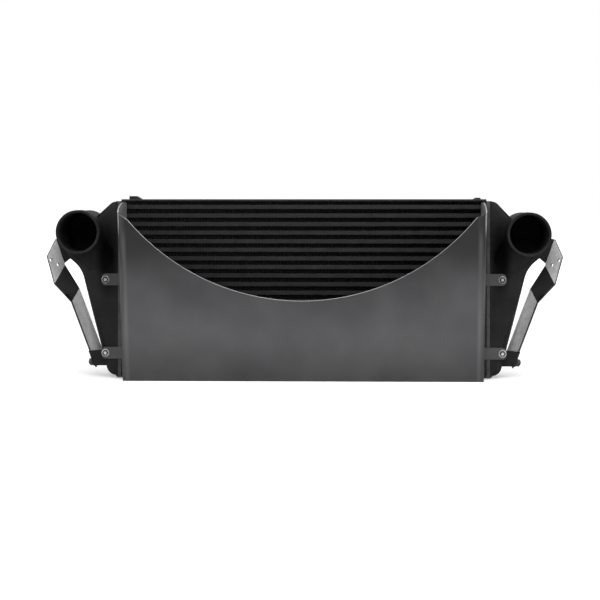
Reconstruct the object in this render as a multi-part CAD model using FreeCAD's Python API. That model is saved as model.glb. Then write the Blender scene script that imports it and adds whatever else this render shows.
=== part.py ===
import FreeCAD, Part
import math
import os

# Front-mounted air-to-air intercooler: a bar-and-plate core, two cast end tanks with round pipe
# mouths, a folded sheet-metal scoop in front of the core and a joggled side bracket at each end.
# Millimetres. The front, where the pipe mouths point, faces -Y and +Z is up. X = 0 is the middle
# of the core, Y = 0 its front face and Z = 0 the underside of the scoop, on which it all rests.
# In the names below, OUT is measured outwards from the header frames' outer faces, DROP downwards
# from the top of the core, and IN inwards from the end named beside it.

V = FreeCAD.Vector

# Core: charge-air passages between long bars, cooling-air rows with folded fins between them
PASSAGES = 20
BAR_HEIGHT = 6.9
BAR_WIDTH = 8.0
SHEET_THICK = 0.5
FIN_ROW = 7.9
EDGE_FIN_ROW = 5.9
SIDE_PLATE = 4.5
CORE_DEPTH = 90.0
FIN_SPAN = 657.0
END_BAR_WIDTH = 8.0
FIN_THICK = 0.4
FIN_FOLDS = 6
TURBULATOR_FOLDS = 2
BRAZE_GAP = 0.05

# Frames that close the core's two ends, on which the tanks are welded
FRAME_THICK = 8.0
FRAME_FACE = 8.0
FRAME_TOP_DROP = 3.5

# Scoop: one folded sheet in front of the core, deeper at the top than at the foot. Its crescent
# is an arc between two corners near the scoop's ends.
SCOOP_SHEET = 2.0
SCOOP_FOOT_DEPTH = 45.0
SCOOP_RAKE = 12.66
SCOOP_FLANGE_DROP = 6.6
SCOOP_NOSE_DEPTH = 68.0
SCOOP_NOSE_HEIGHT = 10.4
SCOOP_BEND = 4.0
SCOOP_LIP_BACK = 70.0
SCOOP_END_GAP = 0.5
CUT_LOW_DROP = 182.3
CUT_CORNER_IN = 18.0
CUT_CORNER_LEFT_DROP = 36.4
CUT_CORNER_RIGHT_DROP = 32.4
CUT_FLANGE_DROP = 26.9
CUT_CORNER_ROUND = 12.0

# Tabs that hold the scoop to the tanks, and their hexagon screws with captive washers
TAB_HEIGHT = 21.6
TAB_BOLT_OUT = 20.7
TAB_BOLT_HEIGHTS = (47.6, 182.8)
TAB_OVERHANG = 7.2
TAB_CORNER_ROUND = 7.0
SCREW_DIAMETER = 6.0
SCREW_HEAD_WIDTH = 10.0
SCREW_HEAD_HEIGHT = 4.5
SCREW_LENGTH = 12.0
SCREW_HOLE_DIAMETER = 6.6
WASHER_DIAMETER = 14.2
WASHER_THICK = 1.2
BOSS_DIAMETER = 15.0
THREAD_CLEAR = 0.1

# End tanks: cast walls, mirrored but for the height of the pipe mouth
TANK_WALL = 4.0
TANK_EDGE_ROUND = 12.0
TANK_BACK_CHAMFER = 5.0
TANK_FOOT_RISE = 3.0
TANK_FOOT_OUT = 16.4
TANK_FOOT_ROUND = 19.0
TANK_SIDE_LEAN = 14.4
TANK_FLARE_DROP = 127.9
TANK_FLARE_RISE = 20.5
TANK_FLARE_TOP_OUT = 91.5
TANK_FLARE_ROUND = 55.0
TANK_TOP_DROP = 4.4
TANK_SHOULDER_OUT = 9.0
TANK_SHOULDER_ROUND = 15.0
TANK_NOTCH_ROUND = 6.0

# Pipe mouths, cast in one with the tanks. The angles are where the tank's outline leaves the pipe.
PIPE_DIAMETER = 80.0
PIPE_WALL = 5.0
PIPE_OUT = 65.0
PIPE_LEFT_DROP = 59.9
PIPE_RIGHT_DROP = 63.9
PIPE_REACH = 50.0
ROOF_MEETS_PIPE = 133.0
FLARE_MEETS_PIPE = -20.0

# Round swelling, drawn with flat sides, that slopes from the back of the pipe's neck into the tank's
# front face. It meets that face this far inwards and down from the pipe's axis.
SWELL_SIDES = 18
SWELL_LEAD = 14.0
SWELL_SINK = 2.0
SWELL_RADIUS = 30.0
SWELL_IN = 29.5
SWELL_DOWN = 45.0

# Brackets: one plate a side, folded twice along slanted lines, with its outer edge nearest the
# front. Corners are given as (OUT, DROP). Holes are placed across and along the upper panel from
# its lower outer corner.
BRACKET_THICK = 3.0
BRACKET_NEAR_Y = 18.0
BRACKET_FAR_Y = 52.0
BRACKET_TOP_OUTER = (132.7, 105.9)
BRACKET_TOP_INNER = (122.2, 74.6)
BRACKET_FOLD1_OUTER = (118.5, 156.4)
BRACKET_FOLD1_INNER = (105.0, 123.4)
BRACKET_FOLD2_OUTER = (86.5, 190.4)
BRACKET_FOLD2_INNER = (76.4, 166.4)
BRACKET_FOOT_OUT = 40.5
BRACKET_FOOT_Z = 19.0
BRACKET_CORNER_ROUND = 8.0
BRACKET_HOLE_DIAMETER = 6.5
BRACKET_HOLES = ((13.0, 36.3), (29.0, 15.7))

# Ear of each tank, cast behind the pipe, that the bracket's upper end butts against
EAR_LEAD = 2.0
EAR_THICK = 12.0
EAR_OVERLAP = 6.0

# Foot of each bracket: a flanged bolt through a rubber bush and the strap into a lug of the tank
BOLT_DIAMETER = 8.0
BOLT_DEPTH = 14.0
BOLT_Y = 29.0
BOLT_Z = 32.5
BOLT_HOLE_DIAMETER = 9.0
BOLT_FLANGE_DIAMETER = 17.0
BOLT_FLANGE_THICK = 1.6
BOLT_HEAD_WIDTH = 13.0
BOLT_HEAD_HEIGHT = 8.0
BUSH_DIAMETER = 20.0
BUSH_THICK = 10.0
LUG_BELOW_BOLT = 10.0
LUG_ABOVE_BOLT = 17.0
LUG_HALF_DEPTH = 15.0

# Locating pieces welded on the top plate, placed inwards from the core's ends
LOCATOR_LEFT_IN = (12.7, 25.8)
LOCATOR_LEFT_TAIL_IN = 35.3
LOCATOR_LEFT_HEIGHT = 5.8
LOCATOR_RIGHT_IN = (22.8, 8.7)
LOCATOR_RIGHT_FLAT_IN = (18.0, 11.0)
LOCATOR_RIGHT_HEIGHT = 2.8
LOCATOR_FRONT_Y = 18.0
LOCATOR_DEPTH = 24.0

# Worked out from the above
CORE_BOTTOM = SCOOP_SHEET
PASSAGE = BAR_HEIGHT + 2 * SHEET_THICK
PITCH = PASSAGE + FIN_ROW
FIRST_PASSAGE = CORE_BOTTOM + SIDE_PLATE + EDGE_FIN_ROW
CORE_TOP = FIRST_PASSAGE + PASSAGES * PITCH - FIN_ROW + EDGE_FIN_ROW + SIDE_PLATE
CORE_HALF = FIN_SPAN / 2 + END_BAR_WIDTH
HEADER_X = CORE_HALF + FRAME_THICK
SCOOP_HALF = FIN_SPAN / 2 - SCOOP_END_GAP
SCOOP_TOP = CORE_TOP - SCOOP_FLANGE_DROP
RAKE_SLOPE = math.tan(math.radians(SCOOP_RAKE))
TAB_BOLT_X = HEADER_X + TAB_BOLT_OUT
SCREW_REACH = SCREW_LENGTH - WASHER_THICK - SCOOP_SHEET
TANK_FRONT = 0.0
TANK_BACK = CORE_DEPTH
TANK_FOOT_Z = CORE_BOTTOM + TANK_FOOT_RISE
TANK_ROOF_Z = CORE_TOP - TANK_TOP_DROP
TANK_FLARE_Z = CORE_TOP - TANK_FLARE_DROP
TANK_FLARE_TOP_Z = TANK_FLARE_Z + TANK_FLARE_RISE
TANK_FLARE_TOP_X = HEADER_X + TANK_FLARE_TOP_OUT
TANK_SHOULDER_X = HEADER_X + TANK_SHOULDER_OUT
PIPE_X = HEADER_X + PIPE_OUT
PIPE_LEFT_Z = CORE_TOP - PIPE_LEFT_DROP
PIPE_RIGHT_Z = CORE_TOP - PIPE_RIGHT_DROP
PIPE_RADIUS = PIPE_DIAMETER / 2
BORE_RADIUS = PIPE_RADIUS - PIPE_WALL
TANK_ARC_RADIUS = BORE_RADIUS + TANK_WALL
SWELL_FRONT_Y = TANK_FRONT - SWELL_LEAD

# Places nearer than this count as one
SAME_PLACE = 1e-3


def box(x0, x1, y0, y1, z0, z1):
    return Part.makeBox(x1 - x0, y1 - y0, z1 - z0, V(x0, y0, z0))


def polygon_face(points):
    return Part.Face(Part.makePolygon(list(points) + [points[0]]))


def mirrored(shape):
    return shape.mirror(V(0, 0, 0), V(1, 0, 0))


def hexagon_prism(centre, axis, across_flats, height):
    # Hexagon nut or screw head that starts at centre and grows along axis.
    corner = across_flats / math.sqrt(3)
    turns = [math.radians(60 * index) for index in range(6)]
    prism = polygon_face([V(corner * math.cos(turn), corner * math.sin(turn), 0) for turn in turns])
    prism = prism.extrude(V(0, 0, height))
    prism.Placement = FreeCAD.Placement(centre, FreeCAD.Rotation(V(0, 0, 1), axis))
    return prism


def row_floor(index):
    # Floor of the cooling-air row under passage number index.
    return FIRST_PASSAGE + index * PITCH - FIN_ROW


def cooling_rows():
    # Bottom and top of every cooling-air row, the two edge rows being lower than the rest.
    rows = []
    for index in range(PASSAGES + 1):
        bottom = row_floor(index)
        top = bottom + FIN_ROW
        if index == 0:
            bottom = top - EDGE_FIN_ROW
        if index == PASSAGES:
            top = bottom + EDGE_FIN_ROW
        rows.append((bottom, top))
    return rows


def passages():
    # Bottom and top of the clear height of every charge-air passage.
    return [(FIRST_PASSAGE + index * PITCH + SHEET_THICK,
             FIRST_PASSAGE + index * PITCH + SHEET_THICK + BAR_HEIGHT) for index in range(PASSAGES)]


def folded_strip(start, end, low, high, folds):
    # Zigzag strip in a plane of its own: start to end along u, low to high along v.
    step = (end - start) / folds
    leg = math.hypot(step, high - low - FIN_THICK)
    rise = FIN_THICK * leg / step
    upper, lower = [], []
    for index in range(folds + 1):
        u = start + index * step
        crest = index % 2
        upper.append((u, high if crest else low + rise))
        lower.append((u, high - rise if crest else low))
    return upper + lower[::-1]


def cooling_fins():
    strips = []
    for bottom, top in cooling_rows():
        outline = folded_strip(-FIN_SPAN / 2 + BRAZE_GAP, FIN_SPAN / 2 - BRAZE_GAP,
                               bottom + BRAZE_GAP, top - BRAZE_GAP, FIN_FOLDS)
        face = polygon_face([V(u, BRAZE_GAP, v) for u, v in outline])
        strips.append(face.extrude(V(0, CORE_DEPTH - 2 * BRAZE_GAP, 0)))
    return strips


def turbulators():
    strips = []
    inner_front = BAR_WIDTH + BRAZE_GAP
    inner_back = CORE_DEPTH - BAR_WIDTH - BRAZE_GAP
    for bottom, top in passages():
        outline = folded_strip(inner_front, inner_back, bottom + BRAZE_GAP, top - BRAZE_GAP,
                               TURBULATOR_FOLDS)
        face = polygon_face([V(-CORE_HALF, u, v) for u, v in outline])
        strips.append(face.extrude(V(2 * CORE_HALF, 0, 0)))
    return strips


def side_plate(z):
    return box(-CORE_HALF, CORE_HALF, 0, CORE_DEPTH, z, z + SIDE_PLATE)


def parting_sheets():
    sheets = []
    for bottom, top in passages():
        for z in (bottom - SHEET_THICK, top):
            sheets.append(box(-CORE_HALF, CORE_HALF, 0, CORE_DEPTH, z, z + SHEET_THICK))
    return sheets


def long_bars(y0, y1):
    return [box(-CORE_HALF, CORE_HALF, y0, y1, bottom, top) for bottom, top in passages()]


def end_bars(x0, x1):
    return [box(x0, x1, 0, CORE_DEPTH, bottom, top) for bottom, top in cooling_rows()]


def header_frame():
    # Right-hand frame: a welded rectangle round the ends of the passages.
    outer = box(CORE_HALF, HEADER_X, 0, CORE_DEPTH, CORE_BOTTOM, CORE_TOP - FRAME_TOP_DROP)
    window = box(CORE_HALF, HEADER_X, FRAME_FACE, CORE_DEPTH - FRAME_FACE,
                 CORE_BOTTOM + SIDE_PLATE + EDGE_FIN_ROW, CORE_TOP - SIDE_PLATE - EDGE_FIN_ROW)
    return outer.cut(window)


def tank_wall_x(z):
    # Outside of the tank's leaning side wall at height z.
    return HEADER_X + TANK_FOOT_OUT + (z - TANK_FOOT_Z) * math.tan(math.radians(TANK_SIDE_LEAN))


def arc_point(centre, radius, degrees):
    turn = math.radians(degrees)
    return (centre[0] + radius * math.cos(turn), centre[1] + radius * math.sin(turn))


def tank_profile(pipe_z, y, inset):
    # Closed outline of the right-hand tank in the XZ plane at depth y, moved inwards by inset.
    centre = (PIPE_X, pipe_z)
    radius = TANK_ARC_RADIUS - inset
    side_shift = inset / math.cos(math.radians(TANK_SIDE_LEAN))
    foot_z = TANK_FOOT_Z + inset
    roof = TANK_ROOF_Z - inset
    circle_low = arc_point(centre, radius, FLARE_MEETS_PIPE)
    circle_mid = arc_point(centre, radius, (FLARE_MEETS_PIPE + ROOF_MEETS_PIPE) / 2)
    circle_end = arc_point(centre, radius, ROOF_MEETS_PIPE)
    corners = [circle_end, (TANK_SHOULDER_X - inset / 2, roof), (HEADER_X, roof), (HEADER_X, foot_z),
               (tank_wall_x(foot_z) - side_shift, foot_z),
               (tank_wall_x(TANK_FLARE_Z) - side_shift, TANK_FLARE_Z),
               (TANK_FLARE_TOP_X - inset, TANK_FLARE_TOP_Z + inset / 2), circle_low]

    def at(point):
        return V(point[0], y, point[1])

    edges = [Part.Arc(at(circle_low), at(circle_mid), at(circle_end)).toShape()]
    for start, end in zip(corners, corners[1:]):
        edges.append(Part.LineSegment(at(start), at(end)).toShape())
    return Part.Wire(edges)


def edges_along_y(shape, x, z, reach):
    # Edges that run front to back within reach of the point (x, z).
    found = []
    for edge in shape.Edges:
        box_of = edge.BoundBox
        if box_of.YLength > 1 and max(box_of.XLength, box_of.ZLength) < SAME_PLACE:
            if math.hypot(box_of.XMin - x, box_of.ZMin - z) < reach:
                found.append(edge)
    return found


def rim_edges(shape, y):
    # Edges in the plane at depth y, apart from the one against the core.
    found = []
    for edge in shape.Edges:
        box_of = edge.BoundBox
        if abs(box_of.YMin - y) < SAME_PLACE and abs(box_of.YMax - y) < SAME_PLACE:
            if box_of.XLength > SAME_PLACE or box_of.XMin > HEADER_X + SAME_PLACE:
                found.append(edge)
    return found


def tank_block(pipe_z, inset):
    # Tank body without its pipe, at the given inset from the outside. Its corners seen from the
    # front are round. Outside, the front rim is round too and the back one is chamfered.
    front = TANK_FRONT + inset
    back = TANK_BACK - inset
    body = Part.Face(tank_profile(pipe_z, front, inset)).extrude(V(0, back - front, 0))
    corners = ((tank_wall_x(TANK_FOOT_Z), TANK_FOOT_Z, TANK_FOOT_ROUND - inset),
               (tank_wall_x(TANK_FLARE_Z), TANK_FLARE_Z, TANK_FLARE_ROUND),
               (TANK_FLARE_TOP_X, TANK_FLARE_TOP_Z, TANK_NOTCH_ROUND),
               (TANK_SHOULDER_X, TANK_ROOF_Z, TANK_SHOULDER_ROUND - inset))
    for x, z, radius in corners:
        body = body.makeFillet(radius, edges_along_y(body, x, z, 2 * TANK_WALL))
    if inset == 0:
        body = body.makeFillet(TANK_EDGE_ROUND, rim_edges(body, front))
        body = body.makeChamfer(TANK_BACK_CHAMFER, rim_edges(body, back))
    return body


def pipe_swell(pipe_z):
    # Cast swelling that carries the pipe's wall down into the tank's front face.
    slope = V(-SWELL_IN, 0, -SWELL_DOWN)
    end = V(PIPE_X, TANK_FRONT, pipe_z) + slope
    slope.normalize()
    start = V(PIPE_X, SWELL_FRONT_Y, pipe_z) + slope * (TANK_ARC_RADIUS - SWELL_RADIUS)
    turns = [2 * math.pi * index / SWELL_SIDES for index in range(SWELL_SIDES)]
    outline = [start + V(math.cos(turn), 0, math.sin(turn)) * SWELL_RADIUS for turn in turns]
    return polygon_face(outline).extrude((end - start) * ((SWELL_LEAD + SWELL_SINK) / SWELL_LEAD))


def pipe_neck(pipe_z):
    # Turned neck that takes the hose, and behind it a taper into the tank's rounded front rim.
    neck = Part.makeCylinder(PIPE_RADIUS, PIPE_REACH - SWELL_LEAD, V(PIPE_X, -PIPE_REACH, pipe_z),
                             V(0, 1, 0))
    taper = Part.makeCone(PIPE_RADIUS, TANK_ARC_RADIUS, SWELL_LEAD + TANK_EDGE_ROUND,
                          V(PIPE_X, SWELL_FRONT_Y, pipe_z), V(0, 1, 0))
    return neck.fuse(taper)


def bracket_point(outline_point, y):
    out, drop = outline_point
    return V(HEADER_X + out, y, CORE_TOP - drop)


def point_in_plane(outline_point, on_plane, normal):
    # Point of the bracket's outline in the plane through on_plane.
    point = bracket_point(outline_point, on_plane.y)
    gap = point - on_plane
    return point - V(0, (normal.x * gap.x + normal.z * gap.z) / normal.y, 0)


def outward_normal(corner, along, across):
    # Unit normal of a bracket panel, pointing away from the tank.
    normal = (along - corner).cross(across - corner)
    normal.normalize()
    return normal if normal.x > 0 else normal * -1


def bracket_corners():
    # Near and far corners of the bracket's inner face, from the top down, and its panels' normals.
    fold1_near = bracket_point(BRACKET_FOLD1_OUTER, BRACKET_NEAR_Y)
    fold1_far = bracket_point(BRACKET_FOLD1_INNER, BRACKET_FAR_Y)
    top_far = bracket_point(BRACKET_TOP_INNER, BRACKET_FAR_Y)
    fold2_near = bracket_point(BRACKET_FOLD2_OUTER, BRACKET_NEAR_Y)
    foot_near = V(HEADER_X + BRACKET_FOOT_OUT, BRACKET_NEAR_Y, BRACKET_FOOT_Z)
    upper = outward_normal(fold1_near, fold1_far, top_far)
    top_near = point_in_plane(BRACKET_TOP_OUTER, fold1_near, upper)
    middle = outward_normal(fold1_near, fold1_far, fold2_near)
    fold2_far = point_in_plane(BRACKET_FOLD2_INNER, fold1_near, middle)
    lower = outward_normal(fold2_near, fold2_far, foot_near)
    # The strap's far edge runs parallel to its near edge as far as the foot.
    foot_far = foot_near + (fold2_far - fold2_near)
    near = [top_near, fold1_near, fold2_near, foot_near]
    far = [top_far, fold1_far, fold2_far, foot_far]
    return near, far, [upper, middle, lower]


def strap_normal():
    # Unit normal of the bracket's lower strap, pointing towards the tank.
    return bracket_corners()[2][2] * -1


def bolt_seat():
    # Where the bolt's axis crosses the face of the strap that looks at the tank.
    normal = strap_normal()
    corner = bracket_point(BRACKET_FOLD2_OUTER, BRACKET_NEAR_Y)
    x = corner.x - (normal.y * (BOLT_Y - corner.y) + normal.z * (BOLT_Z - corner.z)) / normal.x
    return V(x, BOLT_Y, BOLT_Z)


def space_beyond(point, direction):
    # Block that fills the space on the far side of the plane through point, seen along direction.
    span = 2 * CORE_TOP
    block = Part.makeBox(span, span, span, V(-span / 2, -span / 2, 0))
    block.Placement = FreeCAD.Placement(point, FreeCAD.Rotation(V(0, 0, 1), direction))
    return block


def round_bar(start, axis, diameter, length):
    return Part.makeCylinder(diameter / 2, length, start, axis)


def foot_lug():
    # Lug that carries the bracket's foot, its end face flat against the strap.
    normal = strap_normal()
    bottom = BOLT_Z - LUG_BELOW_BOLT
    lug = box(tank_wall_x(bottom) - TANK_WALL / 2, HEADER_X + BRACKET_FOLD2_INNER[0],
              BOLT_Y - LUG_HALF_DEPTH, BOLT_Y + LUG_HALF_DEPTH, bottom, BOLT_Z + LUG_ABOVE_BOLT)
    return lug.cut(space_beyond(bolt_seat(), normal * -1))


def upper_ear():
    # Cast rib whose end butts against the inner edge of the bracket's upper panel.
    near, far, normals = bracket_corners()
    edge = far[0] - far[1]
    outwards = edge.cross(normals[0])
    outwards.normalize()
    if outwards.y > 0:
        outwards = outwards * -1
    root_x = PIPE_X + PIPE_RADIUS / 2
    top_slope = (far[0].z - near[0].z) / (near[0].x - far[0].x)
    outline = [(far[0].x, far[0].z), (far[0].x + EAR_OVERLAP, far[0].z - EAR_OVERLAP * top_slope),
               (far[1].x + EAR_OVERLAP, far[1].z),
               (TANK_FLARE_TOP_X, TANK_FLARE_TOP_Z), (root_x, TANK_FLARE_TOP_Z + PIPE_RADIUS),
               (root_x, far[0].z + EAR_OVERLAP)]
    ear = polygon_face([V(x, BRACKET_FAR_Y - EAR_LEAD, z) for x, z in outline])
    ear = ear.extrude(V(0, EAR_THICK, 0))
    return ear.cut(space_beyond(far[0], outwards)).cut(bracket())


def end_tank(pipe_z):
    # Right-hand end tank; the left one is this shape mirrored.
    body = tank_block(pipe_z, 0)
    body = body.fuse([pipe_neck(pipe_z), pipe_swell(pipe_z), foot_lug(), upper_ear()])
    bore = Part.makeCylinder(BORE_RADIUS, PIPE_REACH + TANK_WALL, V(PIPE_X, -PIPE_REACH, pipe_z),
                             V(0, 1, 0))
    body = body.cut(tank_block(pipe_z, TANK_WALL)).cut(bore)
    for z in TAB_BOLT_HEIGHTS:
        seat = V(TAB_BOLT_X, TANK_FRONT, z)
        boss = round_bar(seat + V(0, TANK_WALL / 2, 0), V(0, 1, 0), BOSS_DIAMETER, SCREW_REACH)
        body = body.fuse(boss)
        body = body.cut(round_bar(seat, V(0, 1, 0), SCREW_DIAMETER + 2 * THREAD_CLEAR,
                                  SCREW_REACH + THREAD_CLEAR))
    return body.cut(round_bar(bolt_seat(), strap_normal(), BOLT_DIAMETER + 2 * THREAD_CLEAR,
                              BOLT_DEPTH))


def corner_waste(corner, first, second, radius, thickness):
    # What a round cuts off a plate's corner, between the edges that run to first and to second.
    along_first = first - corner
    along_first.normalize()
    along_second = second - corner
    along_second.normalize()
    half_angle = along_first.getAngle(along_second) / 2
    middle = along_first + along_second
    middle.normalize()
    centre = corner + middle * (radius / math.sin(half_angle))
    tangent = radius / math.tan(half_angle)
    normal = along_first.cross(along_second)
    normal.normalize()
    lift = normal * (-2 * thickness)
    outside = corner - middle * (2 * thickness)
    outline = [centre, corner + along_first * tangent, outside + along_first * tangent,
               outside, outside + along_second * tangent, corner + along_second * tangent]
    waste = polygon_face([point + lift for point in outline]).extrude(normal * (4 * thickness))
    return waste.cut(round_bar(centre + lift, normal, 2 * radius, 4 * thickness))


def bracket():
    # Right-hand bracket: three flat panels that share their slanted fold lines.
    near, far, normals = bracket_corners()
    offsets = [normals[0] * BRACKET_THICK]
    for above, below in zip(normals, normals[1:]):
        mitre = above + below
        mitre.normalize()
        offsets.append(mitre * (BRACKET_THICK / mitre.dot(above)))
    offsets.append(normals[2] * BRACKET_THICK)
    near_back = [point + offset for point, offset in zip(near, offsets)]
    far_back = [point + offset for point, offset in zip(far, offsets)]
    faces = [[near[0], far[0], far_back[0], near_back[0]], [near[3], far[3], far_back[3], near_back[3]]]
    for index in range(3):
        below = index + 1
        faces.append([near[index], far[index], far[below], near[below]])
        faces.append([near_back[index], far_back[index], far_back[below], near_back[below]])
        for front_row, back_row in ((near, near_back), (far, far_back)):
            faces.append([front_row[index], front_row[below], back_row[below]])
            faces.append([front_row[index], back_row[below], back_row[index]])
    shell = Part.makeShell([polygon_face(corners) for corners in faces])
    shell.sewShape()
    plate = Part.makeSolid(shell)
    if plate.Volume < 0:
        plate.reverse()
    plate = plate.cut(corner_waste(near[0], far[0], near[1], BRACKET_CORNER_ROUND, BRACKET_THICK))
    across = far[1] - near[1]
    across.normalize()
    along = far[0] - far[1]
    along.normalize()
    for from_outer_edge, from_fold in BRACKET_HOLES:
        centre = near[1] + across * from_outer_edge + along * from_fold
        plate = plate.cut(round_bar(centre - normals[0] * BRACKET_THICK, normals[0],
                                    BRACKET_HOLE_DIAMETER, 3 * BRACKET_THICK))
    hole_start = bolt_seat() - normals[2] * BRACKET_THICK
    return plate.cut(round_bar(hole_start, normals[2], BOLT_HOLE_DIAMETER, 3 * BRACKET_THICK))


def flanged_bolt(seat, outward, flange, flange_thick, width, height, diameter, length):
    # Hexagon bolt whose flange or captive washer lies on seat, with its head on the outward side.
    head_start = seat + outward * flange_thick
    collar = round_bar(seat, outward, flange, flange_thick)
    head = hexagon_prism(head_start, outward, width, height)
    shank = round_bar(head_start, outward * -1, diameter, flange_thick + length)
    return collar.fuse([head, shank])


def foot_hardware():
    # Rubber bush outside the right-hand strap, and the bolt along the strap's normal.
    outward = strap_normal() * -1
    bush_start = bolt_seat() + outward * BRACKET_THICK
    bush = round_bar(bush_start, outward, BUSH_DIAMETER, BUSH_THICK)
    bush = bush.cut(round_bar(bush_start, outward, BOLT_HOLE_DIAMETER, BUSH_THICK))
    bolt = flanged_bolt(bush_start + outward * BUSH_THICK, outward, BOLT_FLANGE_DIAMETER,
                        BOLT_FLANGE_THICK, BOLT_HEAD_WIDTH, BOLT_HEAD_HEIGHT, BOLT_DIAMETER,
                        BUSH_THICK + BRACKET_THICK + BOLT_DEPTH)
    return bush, bolt


def scoop_front_y(z):
    # Outside of the raked front panel at height z.
    return -SCOOP_FOOT_DEPTH - z * RAKE_SLOPE


def scoop_prism(inset, top):
    # Solid outline of the scoop, moved inwards by inset; it is open towards the core and on top.
    slant = inset / math.cos(math.radians(SCOOP_RAKE))
    nose_top = top - SCOOP_NOSE_HEIGHT
    side = [V(0, scoop_front_y(inset) + slant, inset), V(0, 0, inset), V(0, 0, top),
            V(0, -SCOOP_NOSE_DEPTH, top), V(0, scoop_front_y(nose_top) + slant, nose_top)]
    half = SCOOP_HALF - inset
    prism = polygon_face(side).extrude(V(2 * half, 0, 0))
    prism.translate(V(-half, 0, 0))
    return prism


def bend_edges(prism):
    # The front panel's two side edges and its bottom edge.
    found = []
    for edge in prism.Edges:
        box_of = edge.BoundBox
        in_front = box_of.YMax < -SCOOP_BEND
        on_side = box_of.XLength < SAME_PLACE and box_of.ZLength > SCOOP_FOOT_DEPTH
        on_foot = box_of.ZMax < SCOOP_BEND and box_of.XLength > SCOOP_HALF
        if in_front and (on_side or on_foot):
            found.append(edge)
    return found


def scoop():
    outer = scoop_prism(0, SCOOP_TOP)
    outer = outer.makeFillet(SCOOP_BEND, bend_edges(outer))
    inner = scoop_prism(SCOOP_SHEET, SCOOP_TOP)
    inner = inner.makeFillet(SCOOP_BEND - SCOOP_SHEET, bend_edges(inner))
    shell = outer.cut(inner)
    # Crescent cut out of the front panel only: an arc between two corners, then up to the flanges.
    front = scoop_front_y(SCOOP_TOP) - SCOOP_BEND
    corner_x = SCOOP_HALF - CUT_CORNER_IN
    low = V(0, front, CORE_TOP - CUT_LOW_DROP)
    left = V(-corner_x, front, CORE_TOP - CUT_CORNER_LEFT_DROP)
    right = V(corner_x, front, CORE_TOP - CUT_CORNER_RIGHT_DROP)
    flange_x = SCOOP_HALF - SCOOP_SHEET
    flange_low = CORE_TOP - CUT_FLANGE_DROP
    above = SCOOP_TOP + SCOOP_BEND
    outline = [right, V(flange_x, front, flange_low), V(flange_x, front, above),
               V(-flange_x, front, above), V(-flange_x, front, flange_low), left]
    edges = [Part.Arc(left, low, right).toShape()]
    edges += [Part.LineSegment(start, end).toShape() for start, end in zip(outline, outline[1:])]
    cutter = Part.Face(Part.Wire(edges)).extrude(V(0, -front - SCOOP_SHEET, 0))
    corners = edges_along_y(cutter, left.x, left.z, 1) + edges_along_y(cutter, right.x, right.z, 1)
    cutter = cutter.makeFillet(CUT_CORNER_ROUND, corners)
    shell = shell.cut(cutter)
    # Lip that runs back under the core, and the tabs that lie on the tanks' front faces.
    lip_half = SCOOP_HALF - SCOOP_BEND
    lip = box(-lip_half, lip_half, -SCOOP_SHEET, SCOOP_LIP_BACK, 0, SCOOP_SHEET)
    pieces = [lip]
    for z in TAB_BOLT_HEIGHTS:
        for side in (-1, 1):
            ends = sorted((side * (SCOOP_HALF - SCOOP_SHEET), side * (TAB_BOLT_X + TAB_OVERHANG)))
            tab = box(ends[0], ends[1], TANK_FRONT - SCOOP_SHEET, TANK_FRONT,
                      z - TAB_HEIGHT / 2, z + TAB_HEIGHT / 2)
            tips = edges_along_y(tab, side * (TAB_BOLT_X + TAB_OVERHANG), z, TAB_HEIGHT)
            tab = tab.makeFillet(TAB_CORNER_ROUND, tips)
            hole = round_bar(V(side * TAB_BOLT_X, -TAB_HEIGHT, z), V(0, 1, 0),
                             SCREW_HOLE_DIAMETER, 2 * TAB_HEIGHT)
            pieces.append(tab.cut(hole))
    return shell.fuse(pieces).removeSplitter()


def scoop_screws():
    # Hexagon screws, each with its captive washer.
    return [flanged_bolt(V(side * TAB_BOLT_X, TANK_FRONT - SCOOP_SHEET, z), V(0, -1, 0),
                         WASHER_DIAMETER, WASHER_THICK, SCREW_HEAD_WIDTH, SCREW_HEAD_HEIGHT,
                         SCREW_DIAMETER, SCREW_LENGTH - WASHER_THICK)
            for side in (-1, 1) for z in TAB_BOLT_HEIGHTS]


def locator(profile):
    # Piece on the top plate with the given outline of X and height above the plate.
    face = polygon_face([V(x, LOCATOR_FRONT_Y, CORE_TOP + height) for x, height in profile])
    return face.extrude(V(0, LOCATOR_DEPTH, 0))


def locator_left():
    outer, inner = [inset - CORE_HALF for inset in LOCATOR_LEFT_IN]
    return locator([(outer, 0), (LOCATOR_LEFT_TAIL_IN - CORE_HALF, 0),
                    (inner, LOCATOR_LEFT_HEIGHT), (outer, LOCATOR_LEFT_HEIGHT)])


def locator_right():
    inner, outer = [CORE_HALF - inset for inset in LOCATOR_RIGHT_IN]
    flat_inner, flat_outer = [CORE_HALF - inset for inset in LOCATOR_RIGHT_FLAT_IN]
    return locator([(inner, 0), (outer, 0), (flat_outer, LOCATOR_RIGHT_HEIGHT),
                    (flat_inner, LOCATOR_RIGHT_HEIGHT)])


def both_sides(right_shape):
    return [mirrored(right_shape), right_shape]


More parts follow.
